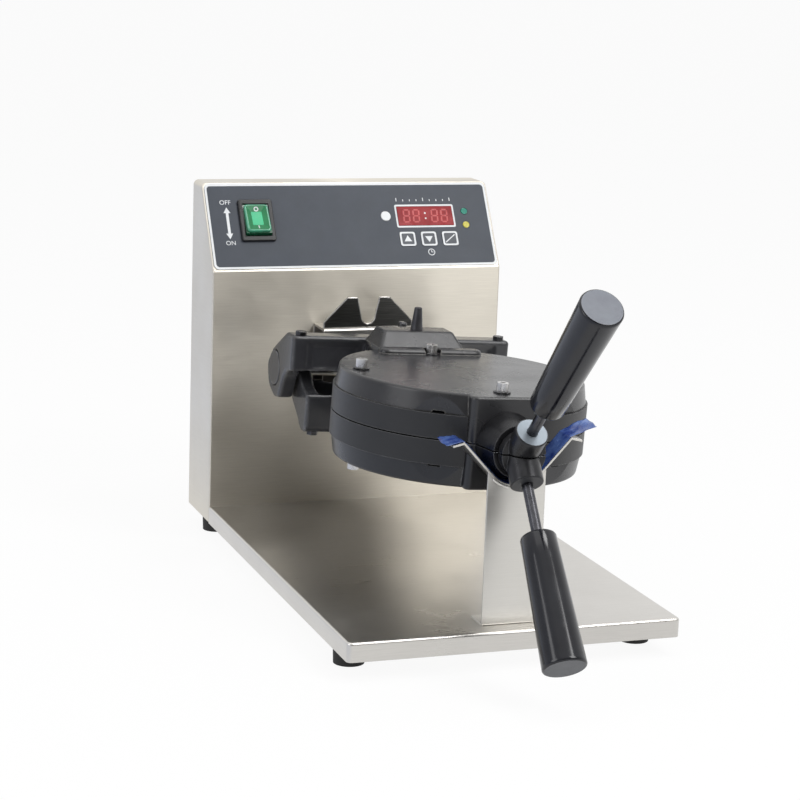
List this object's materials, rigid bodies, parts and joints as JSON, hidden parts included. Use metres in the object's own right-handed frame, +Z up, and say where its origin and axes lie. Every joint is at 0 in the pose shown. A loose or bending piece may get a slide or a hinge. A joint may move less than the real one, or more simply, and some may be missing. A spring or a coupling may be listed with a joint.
{
  "type": "belgian waffle maker",
  "caption": "Countertop belgian waffle maker with a round iron that turns over on a shaft, its two halves hinged, on a steel base with a control tower.",
  "frame": {"origin": "on the table, at the middle of the bottom of the overall box", "axes": "+X to the user's right, +Y from the handles to the control tower, +Z up"},
  "size_m": [0.26, 0.5724, 0.3034],
  "materials": {
    "steel_sheet": "satin",
    "steel_strip": "satin",
    "screw_steel": "polished",
    "bearing_steel": "machined",
    "coated_aluminium": "satin coating",
    "black_steel": "satin",
    "grip_black": "glossy",
    "rubber_black": "matt",
    "panel_film": "satin",
    "switch_black": "glossy",
    "switch_green": "clear green",
    "window_red": "glossy",
    "lamp_clear": "glossy",
    "lamp_green": "glossy",
    "lamp_yellow": "glossy",
    "key_dark": "satin",
    "film_blue": "glossy",
    "board_green": "satin",
    "moulding_grey": "matt",
    "heater_steel": "heat stained"
  },
  "bodies": {
    "base": {"base_tray": "steel_sheet", "rubber_feet": "rubber_black", "foot_nuts": "screw_steel", "tower_shell": "steel_sheet", "back_cover": "steel_sheet", "back_cover_screws": "screw_steel", "cord_gland": "switch_black", "pivot_bracket": "steel_strip", "bracket_screws": "screw_steel", "latch_plate": "steel_strip", "shaft_bushes": "bearing_steel", "stop_pins": "screw_steel", "cradle": "steel_strip", "cradle_film": "film_blue", "support_post": "steel_strip", "post_screws": "screw_steel", "control_overlay": "panel_film", "switch_housing": "switch_black", "display_window": "window_red", "display_module": "moulding_grey", "timer_board": "board_green", "board_spacers": "moulding_grey", "ready_lamp": "lamp_green", "power_lamp": "lamp_yellow", "heat_lamp": "lamp_clear", "terminal_block": "moulding_grey", "power_relay": "moulding_grey"},
    "carrier": {"pivot_shaft": "bearing_steel", "stop_collar": "bearing_steel", "shaft_nut": "screw_steel", "hinge_yoke": "black_steel", "hinge_pin": "bearing_steel", "thermostat": "moulding_grey", "lower_hinge_casting": "coated_aluminium", "lower_casting_screws": "black_steel", "lower_grid": "coated_aluminium", "lower_cover": "coated_aluminium", "lower_cover_screws": "screw_steel", "lower_screw_washers": "black_steel", "lower_heating_element": "heater_steel", "lower_stop_peg": "black_steel", "lower_hub": "black_steel", "lower_handle_rod": "black_steel", "lower_grip": "grip_black"},
    "lid": {"hinge_caps": "coated_aluminium", "upper_hinge_casting": "coated_aluminium", "upper_casting_screws": "black_steel", "upper_grid": "coated_aluminium", "upper_cover": "coated_aluminium", "upper_cover_screws": "screw_steel", "upper_screw_washers": "black_steel", "upper_heating_element": "heater_steel", "upper_stop_peg": "black_steel", "upper_hub": "black_steel", "upper_handle_rod": "black_steel", "upper_grip": "grip_black"},
    "rocker": {"power_rocker": "switch_green"},
    "up_button": {"key_up": "key_dark"},
    "down_button": {"key_down": "key_dark"},
    "start_button": {"key_start": "key_dark"}
  },
  "joints": [
    {"name": "flip", "type": "hinge", "parent": "base", "child": "carrier", "pos_m": [0, 0.1428, 0.1587], "axis": [0, 1, 0], "range_deg": [-186.18, 0]},
    {"name": "lid_open", "type": "hinge", "parent": "carrier", "child": "lid", "pos_m": [0, 0.1428, 0.1587], "axis": [-0.9985, 0, 0.0539], "range_deg": [0, 88]},
    {"name": "power_rocker", "type": "hinge", "parent": "base", "child": "rocker", "pos_m": [-0.086, 0.23339, 0.27204], "axis": [1, 0, 0], "range_deg": [0, 16]},
    {"name": "key_up_press", "type": "slide", "parent": "base", "child": "up_button", "axis": [0, 0.8493, -0.5278], "range_m": [0, 0.0006], "stiffness_N_per_m": 300, "springref_m": -0.0005},
    {"name": "key_down_press", "type": "slide", "parent": "base", "child": "down_button", "axis": [0, 0.8493, -0.5278], "range_m": [0, 0.0006], "stiffness_N_per_m": 300, "springref_m": -0.0005},
    {"name": "key_start_press", "type": "slide", "parent": "base", "child": "start_button", "axis": [0, 0.8493, -0.5278], "range_m": [0, 0.0006], "stiffness_N_per_m": 300, "springref_m": -0.0005}
  ]
}
